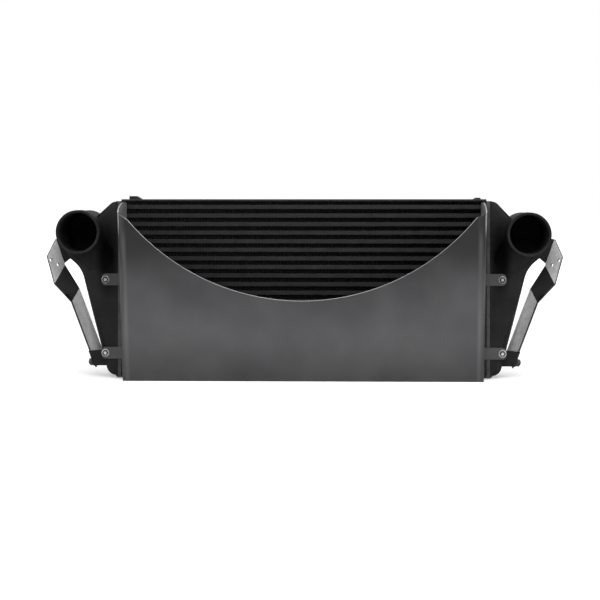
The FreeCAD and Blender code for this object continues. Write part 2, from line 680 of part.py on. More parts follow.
def model():
    bush, bolt = foot_hardware()
    frame = header_frame()
    arm = bracket()
    fin_half = FIN_SPAN / 2
    return {
        "side_plate_bottom": side_plate(CORE_BOTTOM),
        "side_plate_top": side_plate(CORE_TOP - SIDE_PLATE),
        "parting_sheets": parting_sheets(),
        "front_bars": long_bars(0, BAR_WIDTH),
        "rear_bars": long_bars(CORE_DEPTH - BAR_WIDTH, CORE_DEPTH),
        "end_bars_left": end_bars(-CORE_HALF, -fin_half),
        "end_bars_right": end_bars(fin_half, CORE_HALF),
        "cooling_fins": cooling_fins(),
        "turbulators": turbulators(),
        "header_frame_left": mirrored(frame),
        "header_frame_right": frame,
        "end_tank_left": mirrored(end_tank(PIPE_LEFT_Z)),
        "end_tank_right": end_tank(PIPE_RIGHT_Z),
        "scoop": scoop(),
        "scoop_screws": scoop_screws(),
        "bracket_left": mirrored(arm),
        "bracket_right": arm,
        "bracket_bolts": both_sides(bolt),
        "bracket_bushes": both_sides(bush),
        "locator_left": locator_left(),
        "locator_right": locator_right(),
    }


os.makedirs("parts", exist_ok=True)
for name, shape in model().items():
    if isinstance(shape, list):
        shape = Part.makeCompound(shape)
    shape.exportStep("parts/" + name + ".step")
    print(name, len(shape.Solids), "solids", round(shape.Volume / 1000, 1), "cm3", shape.isValid())
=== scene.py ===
import math

import bmesh
import bpy
from mathutils import Matrix, Vector


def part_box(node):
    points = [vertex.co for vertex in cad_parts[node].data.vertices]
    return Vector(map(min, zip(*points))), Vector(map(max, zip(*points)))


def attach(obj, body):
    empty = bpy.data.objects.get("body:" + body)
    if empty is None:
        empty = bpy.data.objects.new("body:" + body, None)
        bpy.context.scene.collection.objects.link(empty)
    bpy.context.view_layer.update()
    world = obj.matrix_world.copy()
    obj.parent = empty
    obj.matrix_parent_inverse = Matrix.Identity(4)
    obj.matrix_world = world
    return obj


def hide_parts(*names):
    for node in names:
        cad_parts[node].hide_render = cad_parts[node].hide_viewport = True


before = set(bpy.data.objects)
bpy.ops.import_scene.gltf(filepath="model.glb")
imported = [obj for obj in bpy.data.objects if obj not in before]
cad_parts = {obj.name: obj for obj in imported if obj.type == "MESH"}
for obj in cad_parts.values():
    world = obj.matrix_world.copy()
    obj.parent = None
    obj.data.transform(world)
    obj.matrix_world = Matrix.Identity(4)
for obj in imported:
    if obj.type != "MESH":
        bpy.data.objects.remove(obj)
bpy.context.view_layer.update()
scene = bpy.context.scene

# The studio: a level camera three metres in front, a little right of the middle and as high as the
# core's top, on a long lens. The frame is slid down so that the cooler sits just above its middle.
CAMERA_SPOT = (0.084, -3.0, 0.3294)
CAMERA_TURN = math.radians(1.72)
PICTURE_PIXELS = 600
LENS_PIXELS = 1630.4
HORIZON_ABOVE_CENTRE = 100
SENSOR_MM = 36.0

camera_data = bpy.data.cameras.new("camera")
camera_data.sensor_width = SENSOR_MM
camera_data.lens = SENSOR_MM * LENS_PIXELS / PICTURE_PIXELS
camera_data.shift_y = -HORIZON_ABOVE_CENTRE / PICTURE_PIXELS
camera = bpy.data.objects.new("camera", camera_data)
camera.location = CAMERA_SPOT
camera.rotation_euler = (math.radians(90), 0, CAMERA_TURN)
scene.collection.objects.link(camera)
scene.camera = camera
scene.view_settings.view_transform = "Standard"


# The backdrop is white to the camera and in reflections, and dimmer where it only lights the part.
# Softboxes stand at both sides, overhead and high in front, the right one stronger than the left.
BACKDROP_LIGHT = 0.42
ROOM_IN_FRONT = 0.30
ROOM_BRIGHTENS = (-0.9, 0.5)


def rays_that_see_the_backdrop(nodes, links):
    light_path = nodes.new("ShaderNodeLightPath")
    shiny = nodes.new("ShaderNodeMath")
    shiny.operation = "MAXIMUM"
    links.new(light_path.outputs["Is Glossy Ray"], shiny.inputs[0])
    links.new(light_path.outputs["Is Transmission Ray"], shiny.inputs[1])
    return light_path.outputs["Is Camera Ray"], shiny.outputs[0]


world = bpy.data.worlds.new("studio")
scene.world = world
world.use_nodes = True
world_nodes, world_links = world.node_tree.nodes, world.node_tree.links
backdrop = world_nodes["Background"]
backdrop.inputs["Color"].default_value = (1, 1, 1, 1)
to_camera, to_shiny = rays_that_see_the_backdrop(world_nodes, world_links)
direction = world_nodes.new("ShaderNodeTexCoord")
split_direction = world_nodes.new("ShaderNodeSeparateXYZ")
world_links.new(direction.outputs["Generated"], split_direction.inputs[0])
front_to_back = world_nodes.new("ShaderNodeMapRange")
front_to_back.interpolation_type = "SMOOTHSTEP"
front_to_back.inputs["From Min"].default_value = ROOM_BRIGHTENS[0]
front_to_back.inputs["From Max"].default_value = ROOM_BRIGHTENS[1]
front_to_back.inputs["To Min"].default_value = ROOM_IN_FRONT
front_to_back.inputs["To Max"].default_value = 1.0
world_links.new(split_direction.outputs["Y"], front_to_back.inputs["Value"])
seen_in_gloss = world_nodes.new("ShaderNodeMix")
seen_in_gloss.inputs["A"].default_value = BACKDROP_LIGHT
world_links.new(to_shiny, seen_in_gloss.inputs["Factor"])
world_links.new(front_to_back.outputs["Result"], seen_in_gloss.inputs["B"])
seen_directly = world_nodes.new("ShaderNodeMix")
seen_directly.inputs["B"].default_value = 1.0
world_links.new(to_camera, seen_directly.inputs["Factor"])
world_links.new(seen_in_gloss.outputs["Result"], seen_directly.inputs["A"])
world_links.new(seen_directly.outputs["Result"], backdrop.inputs["Strength"])


def softbox(name, spot, target, width, height, watts):
    light = bpy.data.lights.new(name, "AREA")
    light.shape = "RECTANGLE"
    light.size = width
    light.size_y = height
    light.energy = watts
    lamp = bpy.data.objects.new(name, light)
    lamp.location = spot
    lamp.rotation_euler = (Vector(target) - Vector(spot)).to_track_quat("-Z", "Y").to_euler()
    scene.collection.objects.link(lamp)


softbox("softbox_left", (-2.4, -1.5, 1.2), (0, 0, 0.15), width=1.2, height=1.6, watts=26)
softbox("softbox_right", (2.3, -1.3, 1.2), (0, 0, 0.15), width=1.2, height=1.6, watts=40)
softbox("softbox_top", (0, -0.6, 2.6), (0, 0, 0.1), width=2.6, height=1.4, watts=36)
softbox("softbox_front", (0.15, -2.7, 1.75), (0, 0, 0.15), width=2.4, height=1.0, watts=62)


# The floor is plain white board that keeps the part's soft shadow. The camera sees it whiter with
# distance, and gloss sees it fade towards the dim front of the room and darken at the part's foot.
FLOOR_REACH = 30.0
FLOOR_WHITE = 0.82
FLOOR_ROUGH = 0.9
FLOOR_LIFT = 0.34
FLOOR_LIFT_FAR = 1.0
LIFT_GROWS = (1.2, 4.5)
GLOSS_LIFT = 0.20
GLOSS_FADES = (-0.85, -0.24)
FOOT_SHADE = 0.62
FOOT_SHADE_REACH = (-0.26, -0.07)

floor_mesh = bpy.data.meshes.new("floor")
floor_shape = bmesh.new()
bmesh.ops.create_grid(floor_shape, x_segments=1, y_segments=1, size=FLOOR_REACH)
floor_shape.to_mesh(floor_mesh)
floor_shape.free()
floor = bpy.data.objects.new("floor", floor_mesh)
scene.collection.objects.link(floor)
floor_material = bpy.data.materials.new("white_board")
floor_material.use_nodes = True
floor_nodes, floor_links = floor_material.node_tree.nodes, floor_material.node_tree.links
board = floor_nodes["Principled BSDF"]
board.inputs["Roughness"].default_value = FLOOR_ROUGH
board.inputs["Specular IOR Level"].default_value = 0.0
board.inputs["Emission Color"].default_value = (1, 1, 1, 1)
floor_to_camera, floor_to_shiny = rays_that_see_the_backdrop(floor_nodes, floor_links)
floor_place = floor_nodes.new("ShaderNodeTexCoord")
floor_distance = floor_nodes.new("ShaderNodeVectorMath")
floor_distance.operation = "LENGTH"
floor_links.new(floor_place.outputs["Object"], floor_distance.inputs[0])
floor_depth = floor_nodes.new("ShaderNodeSeparateXYZ")
floor_links.new(floor_place.outputs["Object"], floor_depth.inputs[0])


def floor_ramp(source, seen_by, reach, ends):
    # Strength that runs between two ends over a reach of the floor, for one kind of ray.
    ramp = floor_nodes.new("ShaderNodeMapRange")
    ramp.interpolation_type = "SMOOTHSTEP"
    ramp.inputs["From Min"].default_value = reach[0]
    ramp.inputs["From Max"].default_value = reach[1]
    ramp.inputs["To Min"].default_value = ends[0]
    ramp.inputs["To Max"].default_value = ends[1]
    floor_links.new(source, ramp.inputs["Value"])
    share = floor_nodes.new("ShaderNodeMath")
    share.operation = "MULTIPLY"
    floor_links.new(ramp.outputs["Result"], share.inputs[0])
    floor_links.new(seen_by, share.inputs[1])
    return share.outputs[0]


lift_seen = floor_ramp(floor_distance.outputs["Value"], floor_to_camera, LIFT_GROWS,
                       (FLOOR_LIFT, FLOOR_LIFT_FAR))
lift_in_gloss = floor_ramp(floor_depth.outputs["Y"], floor_to_shiny, GLOSS_FADES, (0, GLOSS_LIFT))
lift = floor_nodes.new("ShaderNodeMath")
lift.operation = "ADD"
floor_links.new(lift_seen, lift.inputs[0])
floor_links.new(lift_in_gloss, lift.inputs[1])
floor_links.new(lift.outputs[0], board.inputs["Emission Strength"])
dimmed_in_front = floor_ramp(floor_depth.outputs["Y"], floor_to_shiny, GLOSS_FADES, (1, 0))
dimmed_at_foot = floor_ramp(floor_depth.outputs["Y"], floor_to_shiny, FOOT_SHADE_REACH,
                            (0, FOOT_SHADE))
dimmed = floor_nodes.new("ShaderNodeMath")
dimmed.operation = "MAXIMUM"
floor_links.new(dimmed_in_front, dimmed.inputs[0])
floor_links.new(dimmed_at_foot, dimmed.inputs[1])
board_colour = floor_nodes.new("ShaderNodeMix")
board_colour.data_type = "RGBA"
board_colour.inputs["A"].default_value = (FLOOR_WHITE, FLOOR_WHITE, FLOOR_WHITE, 1)
board_colour.inputs["B"].default_value = (0, 0, 0, 1)
floor_links.new(dimmed.outputs[0], board_colour.inputs["Factor"])
floor_links.new(board_colour.outputs["Result"], board.inputs["Base Color"])
floor_mesh.materials.append(floor_material)


# The core: long bars, end bars and parting sheets brazed into one block between two side plates,
# all aluminium under a thin satin black coat that is a little uneven. The bars' edges are just
# broken, and the plates' edges are rounder.
CORE_BLACK = (0.0030, 0.0030, 0.0032, 1)
CORE_WORN_BLACK = (0.0085, 0.0085, 0.0089, 1)
BAR_ROUND = 0.0004
PLATE_ROUND = 0.0018
MERGE_DISTANCE = 1e-6
FLAT_ANGLE = math.radians(0.5)
SHARP_ANGLE = math.radians(28)
MOTTLE_DETAIL = 3.0
MOTTLE_SPREAD = (0.30, 0.70)
GRAIN_DETAIL = 2.0
GRAIN_BUMP = 0.0001


def coat_texture():
    # Grain of a sprayed or cast surface: mottling, uneven gloss and a fine bump, on object space.
    group = bpy.data.node_groups.new("coat_texture", "ShaderNodeTree")
    face = group.interface
    face.new_socket("Stretch", in_out="INPUT", socket_type="NodeSocketVector")
    for given_name in ("Mottle Size", "Grain Size", "Grain Height", "Gloss Low", "Gloss High"):
        face.new_socket(given_name, in_out="INPUT", socket_type="NodeSocketFloat")
    for result_name in ("Mottle", "Grain", "Roughness"):
        face.new_socket(result_name, in_out="OUTPUT", socket_type="NodeSocketFloat")
    face.new_socket("Normal", in_out="OUTPUT", socket_type="NodeSocketVector")
    nodes, links = group.nodes, group.links
    given = nodes.new("NodeGroupInput")
    result = nodes.new("NodeGroupOutput")
    place = nodes.new("ShaderNodeTexCoord")
    drawn_out = nodes.new("ShaderNodeVectorMath")
    drawn_out.operation = "MULTIPLY"
    links.new(place.outputs["Object"], drawn_out.inputs[0])
    links.new(given.outputs["Stretch"], drawn_out.inputs[1])
    mottle = nodes.new("ShaderNodeTexNoise")
    mottle.inputs["Detail"].default_value = MOTTLE_DETAIL
    links.new(place.outputs["Object"], mottle.inputs["Vector"])
    links.new(given.outputs["Mottle Size"], mottle.inputs["Scale"])
    grain = nodes.new("ShaderNodeTexNoise")
    grain.inputs["Detail"].default_value = GRAIN_DETAIL
    links.new(drawn_out.outputs["Vector"], grain.inputs["Vector"])
    links.new(given.outputs["Grain Size"], grain.inputs["Scale"])
    links.new(grain.outputs["Fac"], result.inputs["Grain"])
    gloss = nodes.new("ShaderNodeMapRange")
    links.new(mottle.outputs["Fac"], gloss.inputs["Value"])
    links.new(given.outputs["Gloss Low"], gloss.inputs["To Min"])
    links.new(given.outputs["Gloss High"], gloss.inputs["To Max"])
    bump = nodes.new("ShaderNodeBump")
    bump.inputs["Distance"].default_value = GRAIN_BUMP
    links.new(grain.outputs["Fac"], bump.inputs["Height"])
    links.new(given.outputs["Grain Height"], bump.inputs["Strength"])
    links.new(mottle.outputs["Fac"], result.inputs["Mottle"])
    links.new(gloss.outputs["Result"], result.inputs["Roughness"])
    links.new(bump.outputs["Normal"], result.inputs["Normal"])
    return group


COAT_TEXTURE = coat_texture()


def coated(name, low, high, gloss, mottle_size, grain_size, grain_height, shine, metal=0.0,
           stretch=(1, 1, 1), grain_share=0.0):
    # Coat or metal whose colour and gloss vary with the mottling, and for a share with the grain.
    material = bpy.data.materials.new(name)
    material.use_nodes = True
    nodes, links = material.node_tree.nodes, material.node_tree.links
    surface = nodes["Principled BSDF"]
    surface.inputs["Specular IOR Level"].default_value = shine
    surface.inputs["Metallic"].default_value = metal
    texture = nodes.new("ShaderNodeGroup")
    texture.node_tree = COAT_TEXTURE
    texture.inputs["Stretch"].default_value = stretch
    texture.inputs["Mottle Size"].default_value = mottle_size
    texture.inputs["Grain Size"].default_value = grain_size
    texture.inputs["Grain Height"].default_value = grain_height
    texture.inputs["Gloss Low"].default_value = gloss[0]
    texture.inputs["Gloss High"].default_value = gloss[1]
    tint = nodes.new("ShaderNodeMix")
    tint.data_type = "RGBA"
    tint.inputs["A"].default_value = low
    tint.inputs["B"].default_value = high
    blend = nodes.new("ShaderNodeMix")
    blend.inputs["Factor"].default_value = grain_share
    links.new(texture.outputs["Mottle"], blend.inputs["A"])
    links.new(texture.outputs["Grain"], blend.inputs["B"])
    steeper = nodes.new("ShaderNodeMapRange")
    steeper.inputs["From Min"].default_value = MOTTLE_SPREAD[0]
    steeper.inputs["From Max"].default_value = MOTTLE_SPREAD[1]
    links.new(blend.outputs["Result"], steeper.inputs["Value"])
    links.new(steeper.outputs["Result"], tint.inputs["Factor"])
    links.new(tint.outputs["Result"], surface.inputs["Base Color"])
    links.new(texture.outputs["Roughness"], surface.inputs["Roughness"])
    links.new(texture.outputs["Normal"], surface.inputs["Normal"])
    return material


def dress(part, material):
    part.data.materials.clear()
    part.data.materials.append(material)
    for face in part.data.polygons:
        face.material_index = 0


def node_shape(node, merge_flat=True):
    # The node's own triangles joined up again, and on request its flat faces made whole.
    shape = bmesh.new()
    shape.from_mesh(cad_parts[node].data)
    bmesh.ops.remove_doubles(shape, verts=shape.verts, dist=MERGE_DISTANCE)
    if merge_flat:
        bmesh.ops.dissolve_limit(shape, angle_limit=FLAT_ANGLE, verts=shape.verts, edges=shape.edges)
    return shape


def finished_piece(shape, name, nodes, material, edge_round=0.0, segments=2, sharp=SHARP_ANGLE):
    # Piece that stands for its nodes, if any, with its sharp edges broken by the given width.
    mesh = bpy.data.meshes.new(name)
    shape.to_mesh(mesh)
    shape.free()
    part = bpy.data.objects.new(name, mesh)
    scene.collection.objects.link(part)
    dress(part, material)
    if edge_round:
        rounding = part.modifiers.new("edge_round", "BEVEL")
        rounding.width = edge_round
        rounding.segments = segments
        rounding.limit_method = "ANGLE"
        rounding.angle_limit = SHARP_ANGLE
        rounding.use_clamp_overlap = True
        rounding.harden_normals = True
    for face in mesh.polygons:
        face.use_smooth = True
    mesh.set_sharp_from_angle(angle=sharp)
    if nodes:
        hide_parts(*nodes)
    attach(part, "root")
    return part


def finished_copy(node, name, material, edge_round=0.0, segments=2):
    return finished_piece(node_shape(node, edge_round > 0), name, [node], material,
                          edge_round, segments)


core_coat = coated("core_coat", CORE_BLACK, CORE_WORN_BLACK, gloss=(0.42, 0.60), mottle_size=60,
                   grain_size=1400, grain_height=0.5, shine=0.25)
for node in ("front_bars", "rear_bars", "end_bars_left", "end_bars_right"):
    finished_copy(node, node + "_coated", core_coat, BAR_ROUND)
for node in ("side_plate_top", "side_plate_bottom"):
    finished_copy(node, node + "_coated", core_coat, PLATE_ROUND, segments=3)
for node in ("parting_sheets", "turbulators"):
    dress(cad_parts[node], core_coat)


# The locating pieces: two short aluminium blocks cut from bar, brazed onto the top plate near its
# ends and painted with the core.
LOCATOR_ROUND = 0.0006
for node in ("locator_left", "locator_right"):
    finished_copy(node, node + "_painted", core_coat, LOCATOR_ROUND)


# The cooling fins: thin strip folded on a machine into tight waves, one strip between each two
# passages and brazed to the sheets above and below. Front to back the folds run in a herringbone.
FIN_PITCH = 0.0052
FIN_SHEET = 0.0002
FIN_HEADROOM = 0.0003
FIN_CREST = 0.0011
FIN_SET_BACK = 0.0012
FIN_RUNS = 3
FIN_SIDESTEP = 0.0050
FIN_ROWS = 21
FIN_ROW_TALL = 0.0079
FIN_ROW_EDGE = 0.0059
PASSAGE_TALL = 0.0079
FIN_BLACK = (0.0022, 0.0022, 0.0023, 1)
FIN_BLACK_WORN = (0.0050, 0.0050, 0.0052, 1)

fin_low, fin_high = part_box("cooling_fins")
fin_start = fin_low.x - 2 * FIN_SIDESTEP
fin_waves = math.ceil((fin_high.x - fin_start) / FIN_PITCH)
fin_run = (fin_high.y - fin_low.y - 2 * FIN_SET_BACK) / FIN_RUNS


def folded_strip(name, height):
    # One wave, repeated along the row and drawn back through the core in slanted runs.
    half = FIN_PITCH / 2
    steps = ((0, 0), (half - FIN_CREST, 0), (half, height), (2 * half - FIN_CREST, height),
             (2 * half, 0))
    strip = bmesh.new()
    wave = [strip.verts.new((fin_start + x, fin_low.y + FIN_SET_BACK, z)) for x, z in steps]
    folds = [strip.edges.new(pair) for pair in zip(wave, wave[1:])]
    bmesh.ops.spin(strip, geom=wave + folds, cent=(0, 0, 0), axis=(0, 0, 1),
                   dvec=(FIN_PITCH, 0, 0), angle=0, steps=fin_waves, use_duplicate=True)
    bmesh.ops.remove_doubles(strip, verts=strip.verts, dist=MERGE_DISTANCE)
    folds = strip.edges[:]
    for run in range(FIN_RUNS):
        drawn = bmesh.ops.extrude_edge_only(strip, edges=folds)["geom"]
        moved = {item for item in drawn if isinstance(item, bmesh.types.BMVert)}
        folds = [item for item in drawn if isinstance(item, bmesh.types.BMEdge)
                 and item.verts[0] in moved and item.verts[1] in moved]
        sidestep = FIN_SIDESTEP if run % 2 == 0 else -FIN_SIDESTEP
        bmesh.ops.translate(strip, verts=list(moved), vec=(sidestep, fin_run, 0))
    for end_x, outwards in ((fin_low.x + FIN_SHEET, -1), (fin_high.x - FIN_SHEET, 1)):
        bmesh.ops.bisect_plane(strip, geom=strip.verts[:] + strip.edges[:] + strip.faces[:],
                               dist=MERGE_DISTANCE, plane_co=(end_x, 0, 0), plane_no=(outwards, 0, 0),
                               clear_outer=True)
    mesh = bpy.data.meshes.new(name)
    strip.to_mesh(mesh)
    strip.free()
    return mesh


tall_strip = folded_strip("tall_strip", FIN_ROW_TALL - FIN_HEADROOM)
edge_strip = folded_strip("edge_strip", FIN_ROW_EDGE - FIN_HEADROOM)
fin_shape = bmesh.new()
row_bottom = fin_low.z
for row in range(FIN_ROWS):
    at_edge = row in (0, FIN_ROWS - 1)
    placed = len(fin_shape.verts)
    fin_shape.from_mesh(edge_strip if at_edge else tall_strip)
    fin_shape.verts.ensure_lookup_table()
    bmesh.ops.translate(fin_shape, verts=fin_shape.verts[placed:],
                        vec=(0, 0, row_bottom + FIN_SHEET / 2))
    row_bottom += (FIN_ROW_EDGE if at_edge else FIN_ROW_TALL) + PASSAGE_TALL
bpy.data.meshes.remove(tall_strip)
bpy.data.meshes.remove(edge_strip)
fin_coat = coated("fin_coat", FIN_BLACK, FIN_BLACK_WORN, gloss=(0.6, 0.8), mottle_size=80,
                  grain_size=900, grain_height=0.3, shine=0.15)
fins = finished_piece(fin_shape, "folded_fins", ["cooling_fins"], fin_coat)
fin_gauge = fins.modifiers.new("gauge", "SOLIDIFY")
fin_gauge.thickness = FIN_SHEET
fin_gauge.offset = 0


# The header frames: milled aluminium bar brazed round the ends of the passages, for the tanks to be
# welded to. They have little coat and stay a dull grey.
FRAME_GREY = (0.022, 0.022, 0.023, 1)
FRAME_GREY_WORN = (0.046, 0.046, 0.048, 1)
FRAME_ROUND = 0.0005
frame_finish = coated("frame_finish", FRAME_GREY, FRAME_GREY_WORN, gloss=(0.35, 0.5), mottle_size=90,
                      grain_size=900, grain_height=0.2, shine=0.4)
for node in ("header_frame_left", "header_frame_right"):
    finished_copy(node, node + "_milled", frame_finish, FRAME_ROUND)


# The end tanks: cast in one piece with the pipe mouth, the ear and the foot lug, then painted satin
# black. The casting's grain shows through the paint, and painted shade darkens it beside the scoop,
# where the scoop keeps the light off. The pipe's mouth is turned, and its edges are broken.
TANK_BLACK = (0.0095, 0.0095, 0.0099, 1)
TANK_BLACK_LIGHT = (0.0160, 0.0160, 0.0165, 1)
TANK_PAINTED_SHADE = (0.0012, 0.0012, 0.0012, 1)
TANK_SHADE_SPOT = (0.362, 0.0, 0.222)
TANK_SHADE_REACH = (0.020, 0.030, 0.070)
MOUTH_Y = -0.050
MOUTH_X = 0.4095
MOUTH_Z = {"end_tank_left": 0.271, "end_tank_right": 0.267}
MOUTH_TOLERANCE = 1e-5
BORE_RADII = (0.034, 0.036)
BORE_ROUND = 0.0032
RIM_RADII = (0.039, 0.041)
RIM_ROUND = 0.0007
MOUTH_ROUND_SEGMENTS = 4
SPOT_FADE = (0.4, 1.3)


def spot_mask():
    # One at a spot on both sides of the part, fading evenly to nothing over its reach.
    group = bpy.data.node_groups.new("spot_mask", "ShaderNodeTree")
    face = group.interface
    face.new_socket("Spot", in_out="INPUT", socket_type="NodeSocketVector")
    face.new_socket("Reach", in_out="INPUT", socket_type="NodeSocketVector")
    face.new_socket("Mask", in_out="OUTPUT", socket_type="NodeSocketFloat")
    nodes, links = group.nodes, group.links
    given = nodes.new("NodeGroupInput")
    result = nodes.new("NodeGroupOutput")
    place = nodes.new("ShaderNodeTexCoord")
    apart = nodes.new("ShaderNodeSeparateXYZ")
    links.new(place.outputs["Object"], apart.inputs["Vector"])
    from_middle = nodes.new("ShaderNodeMath")
    from_middle.operation = "ABSOLUTE"
    links.new(apart.outputs["X"], from_middle.inputs[0])
    both_sides = nodes.new("ShaderNodeCombineXYZ")
    links.new(from_middle.outputs["Value"], both_sides.inputs["X"])
    links.new(apart.outputs["Y"], both_sides.inputs["Y"])
    links.new(apart.outputs["Z"], both_sides.inputs["Z"])
    from_spot = nodes.new("ShaderNodeVectorMath")
    from_spot.operation = "SUBTRACT"
    links.new(both_sides.outputs["Vector"], from_spot.inputs[0])
    links.new(given.outputs["Spot"], from_spot.inputs[1])
    share = nodes.new("ShaderNodeVectorMath")
    share.operation = "DIVIDE"
    links.new(from_spot.outputs["Vector"], share.inputs[0])
    links.new(given.outputs["Reach"], share.inputs[1])
    distance = nodes.new("ShaderNodeVectorMath")
    distance.operation = "LENGTH"
    links.new(share.outputs["Vector"], distance.inputs[0])
    fade = nodes.new("ShaderNodeMapRange")
    fade.interpolation_type = "SMOOTHSTEP"
    fade.inputs["From Min"].default_value = SPOT_FADE[0]
    fade.inputs["From Max"].default_value = SPOT_FADE[1]
    fade.inputs["To Min"].default_value = 1.0
    fade.inputs["To Max"].default_value = 0.0
    links.new(distance.outputs["Value"], fade.inputs["Value"])
    links.new(fade.outputs["Result"], result.inputs["Mask"])
    return group


SPOT_MASK = spot_mask()


def tinted(material, mask, colour):
    # Lays a second colour over the material's own where the mask says so.
    nodes, links = material.node_tree.nodes, material.node_tree.links
    surface = nodes["Principled BSDF"]
    own_colour = surface.inputs["Base Color"].links[0].from_socket
    choice = nodes.new("ShaderNodeMix")
    choice.data_type = "RGBA"
    choice.inputs["B"].default_value = colour
    links.new(mask, choice.inputs["Factor"])
    links.new(own_colour, choice.inputs["A"])
    links.new(choice.outputs["Result"], surface.inputs["Base Color"])


def with_spots(material, spot, reach, colour):
    # Tints the material about a spot and its mirror image.
    mask = material.node_tree.nodes.new("ShaderNodeGroup")
    mask.node_tree = SPOT_MASK
    mask.inputs["Spot"].default_value = spot
    mask.inputs["Reach"].default_value = reach
    tinted(material, mask.outputs["Mask"], colour)


tank_paint = coated("tank_paint", TANK_BLACK, TANK_BLACK_LIGHT, gloss=(0.54, 0.68), mottle_size=25,
                    grain_size=650, grain_height=1.3, shine=0.05)
# Painted shade on both tanks beside the scoop.
with_spots(tank_paint, TANK_SHADE_SPOT, TANK_SHADE_REACH, TANK_PAINTED_SHADE)
for node in ("end_tank_left", "end_tank_right"):
    tank_shape = node_shape(node)
    for radii, width in ((BORE_RADII, BORE_ROUND), (RIM_RADII, RIM_ROUND)):
        circle = []
        for edge in tank_shape.edges:
            corner = edge.verts[0].co
            radius = math.hypot(abs(corner.x) - MOUTH_X, corner.z - MOUTH_Z[node])
            at_mouth = max(vert.co.y for vert in edge.verts) < MOUTH_Y + MOUTH_TOLERANCE
            if at_mouth and radii[0] < radius < radii[1]:
                circle.append(edge)
        bmesh.ops.bevel(tank_shape, geom=circle, offset=width, segments=MOUTH_ROUND_SEGMENTS,
                        profile=0.5, affect="EDGES", material=-1)
    finished_piece(tank_shape, node + "_painted", [node], tank_paint)


# The weld that joins each tank to its header frame: one bead laid in small overlapping ripples all
# the way round, painted with the tank.
BEAD_HALF_WIDTH = 0.0021
BEAD_HEIGHT = 0.0008
BEAD_PITCH = 0.0016
BEAD_TIGHT = 0.80
BEAD_CORNER_STEPS = 4
BEAD_SIDES = 5
SEAM_X = 0.3445
SEAM_LOW = (0.0, 0.005)
SEAM_HIGH = (0.090, 0.3265)

bead_shape = bmesh.new()
bead_path = []
corners = [(SEAM_LOW[0], SEAM_LOW[1]), (SEAM_HIGH[0], SEAM_LOW[1]), (SEAM_HIGH[0], SEAM_HIGH[1]),
           (SEAM_LOW[0], SEAM_HIGH[1])]
for index, corner in enumerate(corners):
    start, end = Vector(corner), Vector(corners[(index + 1) % len(corners)])
    along = (end - start).normalized()
    count = int((end - start).length / BEAD_PITCH)
    outwards = Vector((along.y, -along.x))
    bead_path += [(start.lerp(end, step / count), outwards) for step in range(1, count)]
    turned = Vector((-outwards.y, outwards.x))
    for step in range(1, BEAD_CORNER_STEPS):
        bend = math.radians(90 * step / BEAD_CORNER_STEPS)
        bead_path.append((end, outwards * math.cos(bend) + turned * math.sin(bend)))
for side in (-1, 1):
    first = last = None
    for index, (place, outwards) in enumerate(bead_path):
        size = 1.0 if index % 2 else BEAD_TIGHT
        row = []
        for step in range(BEAD_SIDES):
            turn = math.pi * step / (BEAD_SIDES - 1)
            lift = outwards * (math.sin(turn) * BEAD_HEIGHT * size)
            x = side * (SEAM_X + math.cos(turn) * BEAD_HALF_WIDTH * size)
            row.append(bead_shape.verts.new((x, place.x + lift.x, place.y + lift.y)))
        ring = [bead_shape.edges.new(pair) for pair in zip(row, row[1:])]
        if last:
            bmesh.ops.bridge_loops(bead_shape, edges=last + ring)
        first = first or ring
        last = ring
    bmesh.ops.bridge_loops(bead_shape, edges=last + first)
bmesh.ops.recalc_face_normals(bead_shape, faces=bead_shape.faces)
finished_piece(bead_shape, "tank_welds", [], tank_paint)


# The scoop: one folded aluminium sheet, screwed to the two tanks, its crescent cut on a laser and
# its coat a satin dark silver, lightly hammered. The sheet is never quite flat. Painted highlights
# lie on the cut edges and the bends, painted light on the flanges' inner faces and in upright bands
# beside the bends, and painted shade darkens the upper corners.
SCOOP_GREY = (0.072, 0.072, 0.075, 1)
SCOOP_GREY_LIGHT = (0.096, 0.096, 0.099, 1)
SCOOP_PAINTED_HIGHLIGHT = (0.34, 0.34, 0.35, 1)
INSIDE_PAINTED_LIGHT = 0.90
FACES_FRONT = 0.5
FACES_SIDE = 0.97
FACES_UP = 0.25
CORNER_SHADE_SPOT = (0.300, -0.110, 0.280)
CORNER_SHADE_REACH = (0.090, 0.200, 0.080)
CORNER_PAINTED_SHADE = (0.048, 0.048, 0.050, 1)
BEND_HIGHLIGHT_SPOT = (0.3285, -0.112, 0.292)
BEND_HIGHLIGHT_REACH = (0.0035, 0.014, 0.036)
BEND_PAINTED_HIGHLIGHT = (0.36, 0.36, 0.37, 1)
BAND_X = 0.3182
BAND_HALF_WIDTH = 0.0062
BAND_TOP = (0.245, 0.285)
BAND_PAINTED_LIGHT = (0.114, 0.114, 0.118, 1)
FLANGE_ROUND_MIDDLE = (-0.040, 0.302)
FLANGE_ROUND_SIZE = (0.075, 0.0223)
FLANGE_ROUND_STEPS = 6
SCOOP_METAL = 0.80
CRESCENT_ROUND = 0.0009
SHEET_EDGE_ROUND = 0.0004
WAVE_SIZE = 7.0
WAVE_HEIGHT = 0.0007
CRESCENT_REACH = 0.312
CRESCENT_LOW = 0.14
CRESCENT_TOP = 0.300
FLANGE_LOW = 0.290
FRONT_PART_Y = -0.06
CUT_FACE_AREA = 0.0004


def painted_light_and_shade_faces():
    # One on the faces that the piece's mesh marks for painted light and shade.
    group = bpy.data.node_groups.new("painted_light_and_shade_faces", "ShaderNodeTree")
    group.interface.new_socket("Mask", in_out="OUTPUT", socket_type="NodeSocketFloat")
    nodes, links = group.nodes, group.links
    result = nodes.new("NodeGroupOutput")
    painted_light_and_shade = nodes.new("ShaderNodeAttribute")
    painted_light_and_shade.attribute_name = "painted_light_and_shade"
    links.new(painted_light_and_shade.outputs["Fac"], result.inputs["Mask"])
    return group


PAINTED_LIGHT_AND_SHADE_FACES = painted_light_and_shade_faces()


